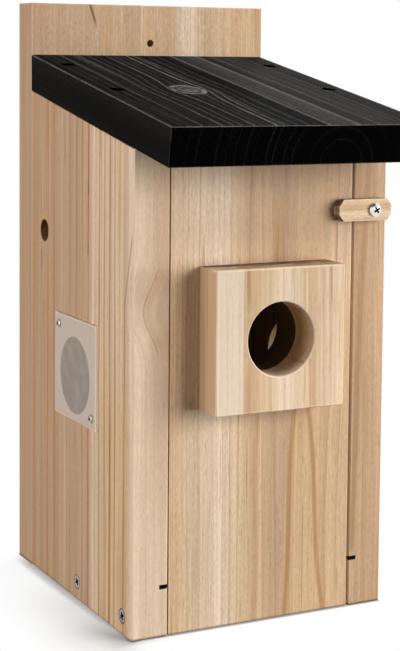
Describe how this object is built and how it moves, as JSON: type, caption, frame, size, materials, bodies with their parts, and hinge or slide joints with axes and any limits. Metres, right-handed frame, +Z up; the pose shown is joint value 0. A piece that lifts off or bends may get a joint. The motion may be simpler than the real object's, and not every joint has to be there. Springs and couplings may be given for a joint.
{
  "type": "camera nest box",
  "caption": "Upright wooden nest box with a sloping black roof, a thick guard block round the entrance, a front that swings open behind a turn button, light windows and a tilting camera.",
  "frame": {"origin": "middle of the base, on the surface that the box stands on", "axes": "+X to the right as seen from the front, +Y to the back panel, +Z up"},
  "size_m": [0.1524, 0.2039, 0.321],
  "materials": {
    "pale_wood": "planed, bare",
    "block_wood": "planed, bare",
    "button_wood": "planed, bare",
    "black_wood": "black stain, satin",
    "black_screw": "black stain over steel",
    "screw_steel": "zinc plated",
    "bracket_steel": "satin",
    "frosted_plastic": "frosted, translucent",
    "sheet_plastic": "matte",
    "black_plastic": "fine matte",
    "gland_rubber": "matte",
    "dark_window": "polished",
    "board_green": "solder mask",
    "clear_resin": "clear",
    "chip": "matte",
    "lens": "coated"
  },
  "bodies": {
    "frame": {"back_panel": "pale_wood", "left_side_panel": "pale_wood", "right_side_panel": "pale_wood", "floor_panel": "pale_wood", "raised_floor": "sheet_plastic", "roof_panel": "black_wood", "roof_screws": "black_screw", "back_panel_screws": "screw_steel", "floor_screws": "screw_steel", "door_pivot_screws": "screw_steel", "latch_screw": "screw_steel", "left_window_plate": "frosted_plastic", "right_window_plate": "frosted_plastic", "window_screws": "screw_steel", "camera_bracket": "bracket_steel", "bracket_screws": "screw_steel"},
    "door": {"front_door": "pale_wood", "guard_block": "block_wood", "guard_block_screws": "screw_steel"},
    "button": {"turn_button": "button_wood"},
    "camera": {"tilt_screws": "black_plastic", "camera_housing": "black_plastic", "camera_rear_cover": "black_plastic", "cable_gland": "gland_rubber", "camera_front_window": "dark_window", "led_board": "board_green", "infrared_leds": "clear_resin", "main_board": "board_green", "image_sensor": "chip", "lens_mount": "black_plastic"},
    "lens": {"lens_barrel": "black_plastic", "lens_glass": "lens"}
  },
  "joints": [
    {"name": "door_swing", "type": "hinge", "parent": "frame", "child": "door", "pos_m": [0, -0.06925, 0.01], "axis": [1, 0, 0], "range_deg": [0, 95]},
    {"name": "button_turn", "type": "hinge", "parent": "frame", "child": "button", "pos_m": [0.0624, -0.08075, 0.21304], "axis": [0, 1, 0], "continuous": true},
    {"name": "camera_tilt", "type": "hinge", "parent": "frame", "child": "camera", "pos_m": [0, 0.03275, 0.22769], "axis": [-1, 0, 0], "range_deg": [-20, 75]},
    {"name": "lens_focus", "type": "hinge", "parent": "camera", "child": "lens", "pos_m": [0, 0.03275, 0.22769], "axis": [0, 0, -1], "range_deg": [-180, 180]}
  ]
}
